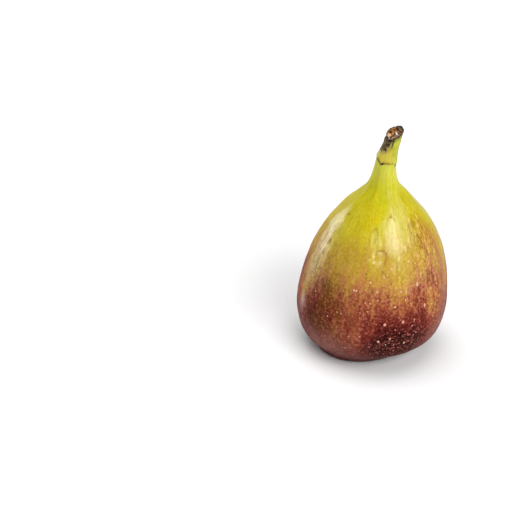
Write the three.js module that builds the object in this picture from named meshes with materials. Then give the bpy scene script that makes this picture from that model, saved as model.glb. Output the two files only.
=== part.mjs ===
// A fresh fig, whole and as picked, resting on the flattened underside of its own flesh.
// Millimetres, +Z up. The origin lies on the resting plane, under the middle of the bounding box.
//
// The fruit grew as one piece, so it is one closed surface. Its rows start at the eye, the scaly mouth low
// on one side, run out under the flesh and up the ribbed flank, climb the fluted neck to the ring where the
// bracts sat, go on up the sleeve of the stalk, and end in the middle of the slanting cut.

import * as THREE from "three";

const { clamp, degToRad, lerp, smoothstep } = THREE.MathUtils;

// ---- Driving dimensions -------------------------------------------------------------------------

// Half outline of flesh and neck, from the middle of the base to the ring: [radius, height up the spine].
const OUTLINE = [
  [0, 0],
  [7.6, 0],
  [13.1, 0.7],
  [15.9, 2.9],
  [20.9, 7.2],
  [23.4, 14.8],
  [22.8, 24],
  [20.6, 33.5],
  [17, 42],
  [12.6, 48.5],
  [8.3, 53.5],
  [4.9, 57.5],
  [3.6, 61.5],
  [3.1, 66.4],
];

// The spine that the outline is carried up: its [x, y] every 13 mm of height.
const SPINE_STEP = 13;
const SPINE = [
  [0, 0],
  [2.3, 0.4],
  [3.7, 0.6],
  [4.5, 0.6],
  [4.9, 0.2],
  [5.35, -0.4],
  [7.9, -1.5],
];

// The base is squashed askew: it tips by these angles toward +X and +Y, and is square again at this height.
const BASE_TIP = [-10, 3];
const BASE_TIP_HEIGHT = 28;

// Where the fruit rests, its flesh has flattened by this depth, and the flat rounds off into the flank.
const SEAT = { depth: 1.8, rounding: 0.6 };

// Relief of the skin.
const RIBS = { count: 9, phase: -2.07, twist: 0.03, height: 0.16, low: 4, high: 56 };
const SWELLS = { two: 0.3, three: 0.22 }; // broad swellings, two and three to the round
const FLUTES = { count: 9, height: 0.11, low: 47, high: 66.4 };

// The eye: how far off the outline's axis it sits, how far round it the rows stay round, and its relief.
const EYE = { offset: [10.5, -6], reach: 4 };
const BOWL = { radius: 3.3, depth: 1.3 };
const LIP = { radius: 3.8, width: 1, height: 0.32 };
const SCALES = { count: 5, radius: 2.7, height: 1.1, furrow: 0.36, twist: 0.7 };

// The ring round the neck, where three bracts sat: it dips toward +X, and droops to a corner between bracts.
const RING = { dip: 0.3, droop: 0.9, bracts: 3, cornerAt: -125, blend: 7 };

// The sleeve of the stalk above the ring: [share of the way to the cut, radius]. Its lip overhangs a crease.
const CUT_HEIGHT = 75.4;
const SLEEVE = [
  [0, 2.95],
  [-0.01, 3.2],
  [0.03, 3.3],
  [0.1, 3.15],
  [0.23, 2.9],
  [0.37, 2.7],
  [0.53, 2.55],
  [0.72, 2.47],
  [0.88, 2.45],
  [1, 2.45],
];

// The cut slants up toward +X and +Y. Its face: [share of the stalk's radius, height over the cut's plane].
const CUT_SLOPE = [0.56, 0.38];
const CUT_FACE = [
  [0.95, 0.14],
  [0.8, 0.04],
  [0.62, -0.36],
  [0.4, -0.46],
  [0.2, -0.12],
];
const CUT_MIDDLE = -0.05;
const CUT_ROUGHNESS = 0.14;

const COLUMNS = 64;
const BODY_ROWS = 66;
const CROWDING = 0.65; // how much closer the rows lie at the eye and at the ring than halfway

// ---- The outline and the spine ------------------------------------------------------------------

const toVector = ([x, y]) => new THREE.Vector2(x, y);
const outline = new THREE.SplineCurve(OUTLINE.map(toVector));
const spine = new THREE.SplineCurve(SPINE.map(toVector));
const spineTop = SPINE_STEP * (SPINE.length - 1);
const SPINE_SPAN = 0.5; // half the height over which the spine's slope is taken
const ringHeight = OUTLINE.at(-1)[1];

const OUTLINE_SAMPLES = 600;
const outlinePoints = outline.getPoints(OUTLINE_SAMPLES);
const widestRadius = Math.max(...outlinePoints.map((point) => point.x));
const widestPoint = outlinePoints.find((point) => point.x === widestRadius);
const underside = outlinePoints.slice(0, outlinePoints.indexOf(widestPoint) + 1);

/** Height of the underside, from the base out to the widest point, at a distance from the spine. */
function undersideHeight(radius) {
  const next = underside.findIndex((point) => point.x >= radius);
  if (next === 0) return underside[0].y;
  if (next < 0) return widestPoint.y;
  const [inner, outer] = [underside[next - 1], underside[next]];
  return lerp(inner.y, outer.y, (radius - inner.x) / (outer.x - inner.x));
}

const spineAt = (height) => spine.getPoint(clamp(height / spineTop, 0, 1));

/** A point at [across, along] in the plane that stands square to the spine at a height. */
function placeOnSpine(across, along, height) {
  const low = Math.max(height - SPINE_SPAN, 0);
  const high = low + 2 * SPINE_SPAN;
  const run = spineAt(high).sub(spineAt(low)).divideScalar(high - low);
  const tipped = 1 - smoothstep(height, 0, BASE_TIP_HEIGHT);
  const slopeX = run.x + Math.tan(degToRad(BASE_TIP[0])) * tipped;
  const slopeY = run.y + Math.tan(degToRad(BASE_TIP[1])) * tipped;
  const up = new THREE.Vector3(slopeX, slopeY, 1).normalize();
  const right = new THREE.Vector3(0, 1, 0).cross(up).normalize();
  const back = up.clone().cross(right);
  const centre = spineAt(height);
  return new THREE.Vector3(centre.x, centre.y, height)
    .addScaledVector(right, across)
    .addScaledVector(back, along);
}

// ---- Rows of the surface ------------------------------------------------------------------------

const angles = Array.from({ length: COLUMNS }, (_, column) => (2 * Math.PI * column) / COLUMNS);

/** Share of the way along the outline of a body row: rows crowd toward the eye and toward the ring. */
function crowded(share) {
  return share - (CROWDING * Math.sin(2 * Math.PI * share)) / (2 * Math.PI);
}

/** How far the ring stands above its height: a slanting loop that droops to a corner between bracts. */
function ringRise(angle) {
  const turn = (RING.bracts / 2) * (angle - degToRad(RING.cornerAt));
  const corner = (1 - Math.abs(Math.sin(turn))) ** 2;
  return -RING.droop * corner - RING.dip * Math.cos(angle);
}

/** One row round the body. Under the widest row the circles slide toward the eye as they shrink. */
function bodyRow(share) {
  const { x: radius, y: height } = outline.getPointAt(crowded(share));
  const under = height <= widestPoint.y;
  const slide = under ? Math.min((widestRadius - radius) / (widestRadius - EYE.reach), 1) : 0;
  return angles.map((angle) => {
    const across = radius * Math.cos(angle) + EYE.offset[0] * slide;
    const along = radius * Math.sin(angle) + EYE.offset[1] * slide;
    const level = under ? undersideHeight(Math.hypot(across, along)) : height;
    const toRing = smoothstep(height, ringHeight - RING.blend, ringHeight);
    return placeOnSpine(across, along, level + ringRise(angle) * toRing);
  });
}

/** Height of the plane of the cut at an angle and a distance from the middle of the stalk. */
function cutHeight(angle, radius) {
  return CUT_HEIGHT + radius * (CUT_SLOPE[0] * Math.cos(angle) + CUT_SLOPE[1] * Math.sin(angle));
}

/** One row round the sleeve of the stalk, between the ring and the cut. */
function sleeveRow([share, radius]) {
  return angles.map((angle) => {
    const height = lerp(ringHeight + ringRise(angle), cutHeight(angle, radius), share);
    return placeOnSpine(radius * Math.cos(angle), radius * Math.sin(angle), height);
  });
}

/** One row of the cut face. Its height wanders, as a stalk that was pulled as much as cut. */
function cutRow([share, lift]) {
  const radius = share * SLEEVE.at(-1)[1];
  return angles.map((angle) => {
    const wander = Math.sin(3 * angle + 5 * share) + 0.7 * Math.sin(5 * angle - 9 * share);
    const height = cutHeight(angle, radius) + lift + CUT_ROUGHNESS * share * wander;
    return placeOnSpine(radius * Math.cos(angle), radius * Math.sin(angle), height);
  });
}

const bodyShares = Array.from({ length: BODY_ROWS }, (_, row) => (row + 1) / BODY_ROWS);
const rows = [
  ...bodyShares.map(bodyRow),
  ...SLEEVE.map(sleeveRow),
  ...CUT_FACE.map(cutRow),
];
const eyePoint = placeOnSpine(...EYE.offset, undersideHeight(Math.hypot(...EYE.offset)));
const cutPoint = placeOnSpine(0, 0, CUT_HEIGHT + CUT_MIDDLE);

// ---- One closed mesh ----------------------------------------------------------------------------

/** Joins the rows, wound to face outward, and closes them with a fan at the eye and one at the cut. */
function closedSurface() {
  const vertex = (row, column) => 1 + row * COLUMNS + (column % COLUMNS);
  const last = rows.length - 1;
  const cutVertex = vertex(last, COLUMNS - 1) + 1;
  const faces = [];
  for (let column = 0; column < COLUMNS; column++) {
    faces.push(0, vertex(0, column + 1), vertex(0, column));
    faces.push(cutVertex, vertex(last, column), vertex(last, column + 1));
    for (let row = 0; row < last; row++) {
      const [near, far] = [vertex(row, column), vertex(row, column + 1)];
      const [nearUp, farUp] = [vertex(row + 1, column), vertex(row + 1, column + 1)];
      faces.push(near, far, farUp, near, farUp, nearUp);
    }
  }
  const geometry = new THREE.BufferGeometry();
  geometry.setFromPoints([eyePoint, ...rows.flat(), cutPoint]);
  geometry.setIndex(faces);
  geometry.computeVertexNormals();
  return geometry;
}

/** Height of the skin's relief over the smooth form: ribs and swells, neck flutes and the eye. */
function skinRelief(angle, point) {
  const flank = Math.sin(Math.PI * clamp((point.z - RIBS.low) / (RIBS.high - RIBS.low), 0, 1));
  const ribs = RIBS.height * Math.cos(RIBS.count * angle + RIBS.twist * point.z + RIBS.phase);
  const swells = SWELLS.two * Math.sin(2 * angle) + SWELLS.three * Math.sin(3 * angle);
  const neck = Math.sin(Math.PI * clamp((point.z - FLUTES.low) / (FLUTES.high - FLUTES.low), 0, 1));
  const flutes = FLUTES.height * Math.cos(FLUTES.count * angle);

  const distance = point.distanceTo(eyePoint);
  const bowl = -BOWL.depth * (1 - smoothstep(distance, 0, BOWL.radius));
  const lip = LIP.height * Math.exp(-(((distance - LIP.radius) / LIP.width) ** 2));
  const bud = SCALES.height * (1 - smoothstep(distance, 0, SCALES.radius));
  const swirl = Math.abs(Math.cos((SCALES.count / 2) * angle + SCALES.twist * distance));
  const inward = smoothstep(distance, 0, SCALES.radius / 3);
  const outward = 1 - smoothstep(distance, SCALES.radius / 2, SCALES.radius);
  const scales = bud - SCALES.furrow * inward * outward * (1 - swirl);
  return flank * (ribs + swells) + neck * flutes + bowl + lip + scales;
}

/** Raises the relief along the normals of the body, below the ring. */
function raiseRelief(geometry) {
  const { position, normal } = geometry.attributes;
  const point = new THREE.Vector3();
  const outward = new THREE.Vector3();
  const bodyVertices = 1 + BODY_ROWS * COLUMNS;
  for (let i = 0; i < bodyVertices; i++) {
    const angle = i === 0 ? 0 : angles[(i - 1) % COLUMNS];
    point.fromBufferAttribute(position, i);
    outward.fromBufferAttribute(normal, i);
    point.addScaledVector(outward, skinRelief(angle, point));
    position.setXYZ(i, point.x, point.y, point.z);
  }
}

/** A height once the flesh has flattened: 0 where it was pressed down, and rounded off at its edge. */
function flattened(height) {
  if (height <= -SEAT.rounding) return 0;
  if (height >= SEAT.rounding) return height;
  return (height + SEAT.rounding) ** 2 / (4 * SEAT.rounding);
}

/** Sets the fruit down on the plane z = 0, with the middle of its bounding box over the origin. */
function settle(geometry) {
  geometry.computeBoundingBox();
  const { min, max } = geometry.boundingBox;
  geometry.translate(-(min.x + max.x) / 2, -(min.y + max.y) / 2, -(min.z + SEAT.depth));
  const { position } = geometry.attributes;
  for (let i = 0; i < position.count; i++) {
    position.setZ(i, flattened(position.getZ(i)));
  }
  geometry.computeVertexNormals();
}

const surface = closedSurface();
raiseRelief(surface);
settle(surface);

const skin = new THREE.MeshStandardMaterial({ color: 0x9a7430, roughness: 0.42, metalness: 0 });
const fig = new THREE.Mesh(surface, skin);
fig.name = "fig";

const fruit = new THREE.Group();
fruit.add(fig);

export default fruit;
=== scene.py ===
# %% [markdown]
# # A fresh fig, dressed
# A fig is a hollow flower head turned outside in. It hangs from a short stalk, and its skin is
# drawn out into a neck above and closed by a scaly eye below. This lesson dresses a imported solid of
# one with a finer skin, three finishes and raised pores. The solid says where everything goes and
# how big it may be.

# %% Load the frame
import math
import bpy
import numpy as np
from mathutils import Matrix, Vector


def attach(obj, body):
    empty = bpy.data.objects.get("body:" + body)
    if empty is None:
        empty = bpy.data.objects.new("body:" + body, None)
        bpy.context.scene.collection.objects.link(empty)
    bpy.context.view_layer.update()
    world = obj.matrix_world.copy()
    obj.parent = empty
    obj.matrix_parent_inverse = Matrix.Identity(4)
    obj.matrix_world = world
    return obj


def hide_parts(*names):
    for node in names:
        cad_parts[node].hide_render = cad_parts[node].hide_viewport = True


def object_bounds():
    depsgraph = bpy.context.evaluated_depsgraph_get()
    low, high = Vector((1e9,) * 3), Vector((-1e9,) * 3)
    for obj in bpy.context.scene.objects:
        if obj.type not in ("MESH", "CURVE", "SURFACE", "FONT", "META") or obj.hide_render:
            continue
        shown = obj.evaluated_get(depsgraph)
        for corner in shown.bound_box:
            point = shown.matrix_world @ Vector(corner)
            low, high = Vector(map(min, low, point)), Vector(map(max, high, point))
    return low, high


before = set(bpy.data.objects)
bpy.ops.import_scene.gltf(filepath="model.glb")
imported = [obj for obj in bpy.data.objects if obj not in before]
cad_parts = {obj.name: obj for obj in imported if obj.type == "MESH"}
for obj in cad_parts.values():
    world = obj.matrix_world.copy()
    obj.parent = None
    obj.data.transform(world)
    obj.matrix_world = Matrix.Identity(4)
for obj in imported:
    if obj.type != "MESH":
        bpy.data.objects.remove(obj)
cad_low, cad_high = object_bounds()
scene = bpy.context.scene
MM = 0.001
print("the solid measures", (np.subtract(cad_high, cad_low) / MM).round(2), "mm")

# %% [markdown]
# ## The form
# A lathe would make a fig too regular: a real one leans, and swells more to one side. So the skin
# is an outline of radius against height, carried up a curved spine. The numbers are the solid's
# own, in millimetres, so that both keep one form. There are only more rows and columns, for relief
# that the solid is too coarse to carry.

# %% Driving dimensions
OUTLINE = np.array([
    [0, 0], [7.6, 0], [13.1, 0.7], [15.9, 2.9], [20.9, 7.2], [23.4, 14.8], [22.8, 24], [20.6, 33.5],
    [17, 42], [12.6, 48.5], [8.3, 53.5], [4.9, 57.5], [3.6, 61.5], [3.1, 66.4],
])
SPINE_STEP = 13
SPINE = np.array([
    [0, 0], [2.3, 0.4], [3.7, 0.6], [4.5, 0.6], [4.9, 0.2], [5.35, -0.4], [7.9, -1.5],
])
SPINE_SPAN = 0.5
BASE_TIP = np.radians([-10, 3])
BASE_TIP_HEIGHT = 28
SEAT_DEPTH, SEAT_ROUNDING = 1.8, 0.6
RING_HEIGHT = OUTLINE[-1, 1]

COLUMNS, BODY_ROWS, SLEEVE_ROWS, CUT_ROWS = 384, 196, 36, 18
CROWDING = 0.5
angles = np.linspace(0, 2 * np.pi, COLUMNS, endpoint=False)
print("a skin of", 2 * COLUMNS * (BODY_ROWS + SLEEVE_ROWS + CUT_ROWS), "triangles")

# %% Curves through points
def smooth_curve(points, at):
    """Points on a uniform Catmull-Rom curve, where at runs from 0 to the last index.

    Between two points the curve is the cubic that leaves each with half the step between its
    neighbours. An end point stands in for a neighbour that is missing."""
    last = len(points) - 1
    start = np.clip(np.floor(at).astype(int), 0, last - 1)
    share = (at - start)[..., None]
    before, here = points[np.maximum(start - 1, 0)], points[start]
    after, beyond = points[start + 1], points[np.minimum(start + 2, last)]
    leave, arrive = (after - before) / 2, (beyond - here) / 2
    cubic = 2 * (here - after) + leave + arrive
    square = 3 * (after - here) - 2 * leave - arrive
    return ((cubic * share + square) * share + leave) * share + here


def along_curve(points, count):
    """A number of points spread along the smooth curve."""
    return smooth_curve(points, np.linspace(0, len(points) - 1, count))


def smooth_step(value, low, high):
    """3t² - 2t³, where t is the share of the way from low to high, held between 0 and 1."""
    share = np.clip((value - low) / (high - low), 0, 1)
    return share * share * (3 - 2 * share)


def bell(value, middle, width):
    """A bell curve: e to minus the square of the distance from the middle, in widths."""
    return np.exp(-(((value - middle) / width) ** 2))


def unit(vectors):
    """Each vector divided by its own length."""
    return vectors / np.linalg.norm(vectors, axis=-1, keepdims=True)


OUTLINE_SAMPLES = 6000
outline = along_curve(OUTLINE, OUTLINE_SAMPLES)
steps = np.linalg.norm(np.diff(outline, axis=0), axis=1)
walked = np.concatenate([[0], np.cumsum(steps)])
widest = int(np.argmax(outline[:, 0]))
widest_radius, widest_height = outline[widest]
print("widest radius", round(widest_radius, 2), "mm at", round(widest_height, 2), "mm up")

# %% Standing on the spine
def spine_at(height):
    """Where the spine runs at each height: its points lie SPINE_STEP apart."""
    return smooth_curve(SPINE, np.clip(height / SPINE_STEP, 0, len(SPINE) - 1))


def place_on_spine(across, along, height):
    """Points in the plane that stands square to the spine at a height.

    Its normal is the spine's slope over a millimetre, plus a tip that fades out up the base.
    Across runs toward +X in it, and along toward +Y."""
    low = np.maximum(height - SPINE_SPAN, 0)
    run = (spine_at(low + 2 * SPINE_SPAN) - spine_at(low)) / (2 * SPINE_SPAN)
    tipped = 1 - smooth_step(height, 0, BASE_TIP_HEIGHT)
    slope = run + np.tan(BASE_TIP) * tipped[..., None]
    up = unit(np.concatenate([slope, np.ones_like(slope[..., :1])], axis=-1))
    right = unit(np.cross([0, 1, 0], up))
    back = np.cross(up, right)
    centre = np.concatenate([spine_at(height), height[..., None]], axis=-1)
    return centre + right * across[..., None] + back * along[..., None]


# %% [markdown]
# ## Rows of the surface
# The rows start at the eye. Level circles would cut across its relief, so under the widest row they
# slide sideways as they shrink, and end as small rings round the eye. Above it they climb the flank
# and the neck, pass the ring where the bracts sat, and follow the stalk to the slanting cut.

# %% The body's rows
EYE_OFFSET, EYE_REACH = np.array([10.5, -6]), 4
RING_DIP, RING_DROOP, RING_BRACTS, RING_BLEND = 0.3, 0.9, 3, 7
RING_CORNER_AT = math.radians(-125)


def underside_height(radius):
    """The outline's height below its widest point, at a distance from the spine."""
    return np.interp(radius, outline[: widest + 1, 0], outline[: widest + 1, 1])


def ring_rise(angle):
    """Height of the ring over its own: a cosine dips it toward +X, and three sharp corners droop,
    each (1 - |sin|)² of the angle from its tip."""
    corner = (1 - np.abs(np.sin(RING_BRACTS / 2 * (angle - RING_CORNER_AT)))) ** 2
    return -RING_DROOP * corner - RING_DIP * np.cos(angle)


shares = np.arange(1, BODY_ROWS + 1) / BODY_ROWS
crowded = shares - CROWDING * np.sin(2 * np.pi * shares) / (2 * np.pi)
radius, height = (np.interp(crowded * walked[-1], walked, part)[:, None] for part in outline.T)
under = height <= widest_height
slide = np.where(under, np.minimum((widest_radius - radius) / (widest_radius - EYE_REACH), 1), 0)
across = radius * np.cos(angles) + EYE_OFFSET[0] * slide
along = radius * np.sin(angles) + EYE_OFFSET[1] * slide
level = np.where(under, underside_height(np.hypot(across, along)), height)
level = level + ring_rise(angles) * smooth_step(height, RING_HEIGHT - RING_BLEND, RING_HEIGHT)
body = place_on_spine(across, along, level)
eye = place_on_spine(*EYE_OFFSET[:, None], underside_height(np.hypot(*EYE_OFFSET[:, None])))[0]
print("body rows", body.shape, "eye at", eye.round(2))

# %% The stalk's rows
CUT_HEIGHT, CUT_SLOPE, CUT_MIDDLE, CUT_ROUGHNESS = 75.4, (0.56, 0.38), -0.05, 0.14
# The cut's waves: how many go round, how far they turn on the way out, and their share
CUT_WAVES = [(3, 5, 1), (5, -9, 0.7)]
SLEEVE = np.array([
    [0, 2.95], [-0.01, 3.2], [0.03, 3.3], [0.1, 3.15], [0.23, 2.9], [0.37, 2.7], [0.53, 2.55],
    [0.72, 2.47], [0.88, 2.45], [1, 2.45],
])
CUT_FACE = np.array([
    [1, 0.1], [0.95, 0.14], [0.8, 0.04], [0.62, -0.36], [0.4, -0.46], [0.2, -0.12], [0, CUT_MIDDLE],
])


def cut_height(angle, radius):
    """The plane of the cut, which slants up toward +X and a little toward +Y."""
    return CUT_HEIGHT + radius * (CUT_SLOPE[0] * np.cos(angle) + CUT_SLOPE[1] * np.sin(angle))


def round_spine(radius, height):
    """A point for each column, at a radius from the spine."""
    return place_on_spine(radius * np.cos(angles), radius * np.sin(angles), height)


sleeve_share, sleeve_radius = along_curve(SLEEVE, SLEEVE_ROWS).T[:, :, None]
foot = RING_HEIGHT + ring_rise(angles)
sleeve_height = foot + (cut_height(angles, sleeve_radius) - foot) * sleeve_share
sleeve = round_spine(sleeve_radius, sleeve_height)

cut_share, cut_lift = along_curve(CUT_FACE, CUT_ROWS + 2)[1:-1].T[:, :, None]
cut_radius = cut_share * SLEEVE[-1, 1]
waves = sum(size * np.sin(count * angles + turn * cut_share) for count, turn, size in CUT_WAVES)
cut_level = cut_height(angles, cut_radius) + cut_lift + CUT_ROUGHNESS * cut_share * waves
cut = round_spine(cut_radius, cut_level)
smooth_rows = np.concatenate([body, sleeve, cut])
print("rows in all", smooth_rows.shape)

# %% [markdown]
# ## Relief
# Relief is raised along the surface's normals. The broad part is the solid's: nine ribs, two
# swellings, the flutes of the neck, and the bowl, lip and scales of the eye. The fine part is only
# here: fibres, pebbling, blisters, and the wrinkles of the stalk.

# %% The relief that the solid has too
RIBS = {"count": 9, "phase": -2.07, "twist": 0.03, "height": 0.16, "low": 4, "high": 56}
SWELL_TWO, SWELL_THREE = 0.3, 0.22
FLUTES = {"count": 9, "height": 0.11, "low": 47, "high": 66.4}
BOWL_RADIUS, BOWL_DEPTH = 3.3, 1.3
LIP_RADIUS, LIP_WIDTH, LIP_HEIGHT = 3.8, 1, 0.32
SCALES = {"count": 5, "radius": 2.7, "height": 1.1, "furrow": 0.36, "twist": 0.7}


def grid_normals(grid):
    """Outward normals: the step round each row crossed with the step up each column."""
    round_row = np.roll(grid, -1, axis=1) - np.roll(grid, 1, axis=1)
    return unit(np.cross(round_row, np.gradient(grid, axis=0)))


def arch(height, low, high):
    """Half a sine wave between two heights, and 0 beyond them."""
    return np.sin(np.pi * np.clip((height - low) / (high - low), 0, 1))


up = body[..., 2]
from_eye = np.linalg.norm(body - eye, axis=-1)
ribs = RIBS["height"] * np.cos(RIBS["count"] * angles + RIBS["twist"] * up + RIBS["phase"])
swells = SWELL_TWO * np.sin(2 * angles) + SWELL_THREE * np.sin(3 * angles)
flank = arch(up, RIBS["low"], RIBS["high"])
neck = arch(up, FLUTES["low"], FLUTES["high"])
bowl = -BOWL_DEPTH * (1 - smooth_step(from_eye, 0, BOWL_RADIUS))
lip = LIP_HEIGHT * bell(from_eye, LIP_RADIUS, LIP_WIDTH)
bud = SCALES["height"] * (1 - smooth_step(from_eye, 0, SCALES["radius"]))
swirl = np.abs(np.cos(SCALES["count"] / 2 * angles + SCALES["twist"] * from_eye))
inward = smooth_step(from_eye, 0, SCALES["radius"] / 3)
outward = 1 - smooth_step(from_eye, SCALES["radius"] / 2, SCALES["radius"])
scales = bud - SCALES["furrow"] * inward * outward * (1 - swirl)
relief = flank * (ribs + swells) + neck * FLUTES["height"] * np.cos(FLUTES["count"] * angles)
relief = relief + bowl + lip + scales
form = smooth_rows.copy()
form[:BODY_ROWS] += grid_normals(smooth_rows)[:BODY_ROWS] * relief[..., None]
print("relief from", relief.min().round(2), "to", relief.max().round(2), "mm")

# %% Settled on the ground
low_corner, high_corner = form.min(axis=(0, 1)), form.max(axis=(0, 1))
settle = np.add(cad_low, cad_high) / 2 / MM - (low_corner + high_corner) / 2
settle[2] = -(low_corner[2] + SEAT_DEPTH)
print("set down by", settle.round(2), "mm")

# %% [markdown]
# ## Fine relief
# Ripe skin is drawn into fibres that run from stalk to eye, pebbled between them, and lifted where
# juice has gathered under it. Waves of random direction add up to an even, endless noise, and
# squeezing the space they run in along one axis draws them out.

# %% Noise and the way along the skin
WAY_RADIUS = 10
rng = np.random.default_rng(11)


def rolling(points, wavelength, waves=26):
    """Smooth noise about 0: plane waves of random direction and phase, scaled to unit spread.

    The waves' lengths lie around the wavelength, from 0.7 to 1.4 times."""
    directions = unit(rng.normal(size=(waves, 3)))
    numbers = 2 * np.pi / (wavelength * rng.uniform(0.7, 1.4, (waves, 1)))
    phases = rng.uniform(0, 2 * np.pi, waves)
    return np.cos(points @ (directions * numbers).T + phases).sum(-1) * math.sqrt(2 / waves)


stride = np.linalg.norm(np.diff(form, axis=0, prepend=form[:1]), axis=-1)
gone = np.cumsum(stride.mean(axis=1))[:, None]
circle = WAY_RADIUS * np.cos(angles), WAY_RADIUS * np.sin(angles)
way = np.stack(np.broadcast_arrays(*circle, gone), axis=-1)
print("the way from eye to cut is", gone[-1, 0].round(1), "mm long")

# %% Ribs, fibres and pebbles
FIBRE_STRETCH = 14
WIDE_GIRTH = 22
# Wavelengths and depths, from coarse to fine
FIBRES = [(2.6, 0.022), (1.1, 0.012), (0.55, 0.006)]
PEBBLES = [(7, 0.04), (2.2, 0.009), (1.1, 0.004)]
# The heights over which the relief comes in at the foot and goes down at the neck
FOOT_SMOOTH, NECK_SMOOTH, NECK_LOSS = (1, 12), (54, 60), 0.6

drawn_out = way * [1, 1, 1 / FIBRE_STRETCH]
up = form[..., 2] + settle[2]
on_flank = smooth_step(up, *FOOT_SMOOTH) * (1 - NECK_LOSS * smooth_step(up, *NECK_SMOOTH))
girth = np.ptp(form[..., 0], axis=1)[:, None] / 2
fine_relief = sum(depth * rolling(drawn_out, length) for length, depth in FIBRES)
fine_relief = fine_relief * np.minimum(girth / WIDE_GIRTH, 1)
fine_relief = fine_relief + sum(depth * rolling(form, length) for length, depth in PEBBLES)
fine_relief = fine_relief * on_flank
fine_relief[BODY_ROWS:] = 0
print("fine relief spreads", fine_relief.std().round(3), "mm")

# %% Blisters and creases
# Each row: the angle in degrees, height, radius round, radius up, and rise
BLISTERS = [
    [-93.3, 40.2, 1.75, 1.9, 0.1], [-102, 45.4, 0.9, 2, 0.06], [-90, 35.1, 0.7, 1, 0.08],
    [-80, 49.5, 1.1, 0.8, 0.05], [-132.2, 33.3, 1.6, 0.7, -0.1], [-45.9, 41.7, 0.8, 2.4, -0.08],
    [64, 36, 2.4, 1.6, 0.16], [128, 43, 1.3, 2.2, 0.14], [12, 30, 1.8, 1.1, 0.12],
]
# Places and widths are in blister radii
DOME_POWER, MOAT_SHARE, MOAT_AT, MOAT_WIDTH = 1.2, 0.3, 1.15, 0.18
BAND_WIDTH, BAND_LEAN, BAND_FADE = 0.16, 0.5, (-0.5, 0.9)

east, north = form[..., 0], form[..., 1]
from_middle = np.hypot(east - east.mean(1, keepdims=True), north - north.mean(1, keepdims=True))


def offsets(angle, height):
    """How far each point of the grid lies round and up from a spot on the skin, in millimetres."""
    turn = (angles - math.radians(angle) + np.pi) % (2 * np.pi) - np.pi
    return turn * from_middle, up - height


def blister(angle, height, wide, tall, rise):
    """A low dome in a shallow moat, and the thin band that outlines it.

    The dome is 1 - d² to a power, where d is the distance in radii. The band lies where d is 1,
    over the top and on the side toward +X."""
    sideways, above = offsets(angle, height)
    sideways, above = sideways / wide, above / tall
    squared = sideways ** 2 + above ** 2
    distance = np.sqrt(squared)
    dome = np.clip(1 - squared, 0, 1) ** DOME_POWER
    moat = MOAT_SHARE * bell(distance, MOAT_AT, MOAT_WIDTH)
    facing = smooth_step(above + BAND_LEAN * sideways, *BAND_FADE)
    band = facing * bell(distance, 1, BAND_WIDTH)
    return np.stack([rise * (dome - moat), band])


blisters, outlines = sum(blister(*each) for each in BLISTERS)
print("blisters", len(BLISTERS))

# %% [markdown]
# ## The stalk as it dries
# A cut stalk dries from the wound down. Its dried side shrinks into lengthwise wrinkles and turns
# dark. The cut face is torn wood, and its far edge has worn down.

# %% The dried stalk
# The dried patch widens upward from its foot, with a ragged and softened edge
DRIED = {"angle": -152, "half_width": 36, "widening": 4.5, "foot": 69.6, "fade": 1.9, "full": 0.2}
RAGGED = {"length": 1.2, "turn": 6, "rise": 0.35, "inside": 12, "outside": 18}
CUT_EDGE_ROWS, WRINKLE_ROWS = (-1, 2), (5, 9)
WRINKLES = {"length": 0.9, "stretch": 5, "depth": 0.02, "dried_depth": 0.12, "sunk": 0.12}
WORN = {"angle": 50, "half_width": 48, "foot": 73.6, "fade": 1.6, "depth": 0.42}
TORN = {"length": 0.8, "depth": 0.17, "fibre_length": 0.45, "fibre_depth": 0.08}


def turned_from(angle):
    """Degrees that each column lies past an angle, between -180 and 180."""
    return (np.degrees(angles) - angle + 180) % 360 - 180


past_ring_rows = np.arange(len(form))[:, None] - BODY_ROWS
past_edge = past_ring_rows - SLEEVE_ROWS
on_stalk = past_ring_rows >= 0
on_cut = smooth_step(past_edge, *CUT_EDGE_ROWS)
ragged = rolling(form, RAGGED["length"])
turn = np.abs(turned_from(DRIED["angle"]))
edge_at = DRIED["half_width"] + DRIED["widening"] * (up - DRIED["foot"]) + RAGGED["turn"] * ragged
beyond_edge = smooth_step(turn, edge_at - RAGGED["inside"], edge_at + RAGGED["outside"])
dried = smooth_step(up + RAGGED["rise"] * ragged,
                    DRIED["foot"] - DRIED["fade"], DRIED["foot"] + DRIED["full"])
dried = dried * (1 - beyond_edge) * on_stalk
lengthwise = rolling(form * [1, 1, 1 / WRINKLES["stretch"]], WRINKLES["length"])
wrinkle_depth = WRINKLES["depth"] + WRINKLES["dried_depth"] * dried
wrinkled = lengthwise * wrinkle_depth - WRINKLES["sunk"] * dried
wrinkled = wrinkled * (1 - on_cut) * smooth_step(past_ring_rows, *WRINKLE_ROWS)
torn = TORN["depth"] * rolling(form, TORN["length"])
torn = torn + TORN["fibre_depth"] * rolling(form, TORN["fibre_length"])
lift = fine_relief + blisters + wrinkled + on_cut * torn
skin_rows = form + grid_normals(form) * lift[..., None]
worn = bell(turned_from(WORN["angle"]), 0, WORN["half_width"])
worn = worn * smooth_step(up, WORN["foot"], WORN["foot"] + WORN["fade"])
skin_rows[..., 2] -= WORN["depth"] * worn
print("dried share of the stalk", dried[BODY_ROWS:].mean().round(2))

# %% The flat it rests on
def flattened(height):
    """0 below the resting plane, the height itself above it, and a parabola where the two meet."""
    bend = (height + SEAT_ROUNDING) ** 2 / (4 * SEAT_ROUNDING)
    return np.where(height <= -SEAT_ROUNDING, 0, np.where(height >= SEAT_ROUNDING, height, bend))


skin_rows = skin_rows + settle
skin_rows[..., 2] = flattened(skin_rows[..., 2])
print("the skin spans", np.ptp(skin_rows, axis=(0, 1)).round(2), "mm")

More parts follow.
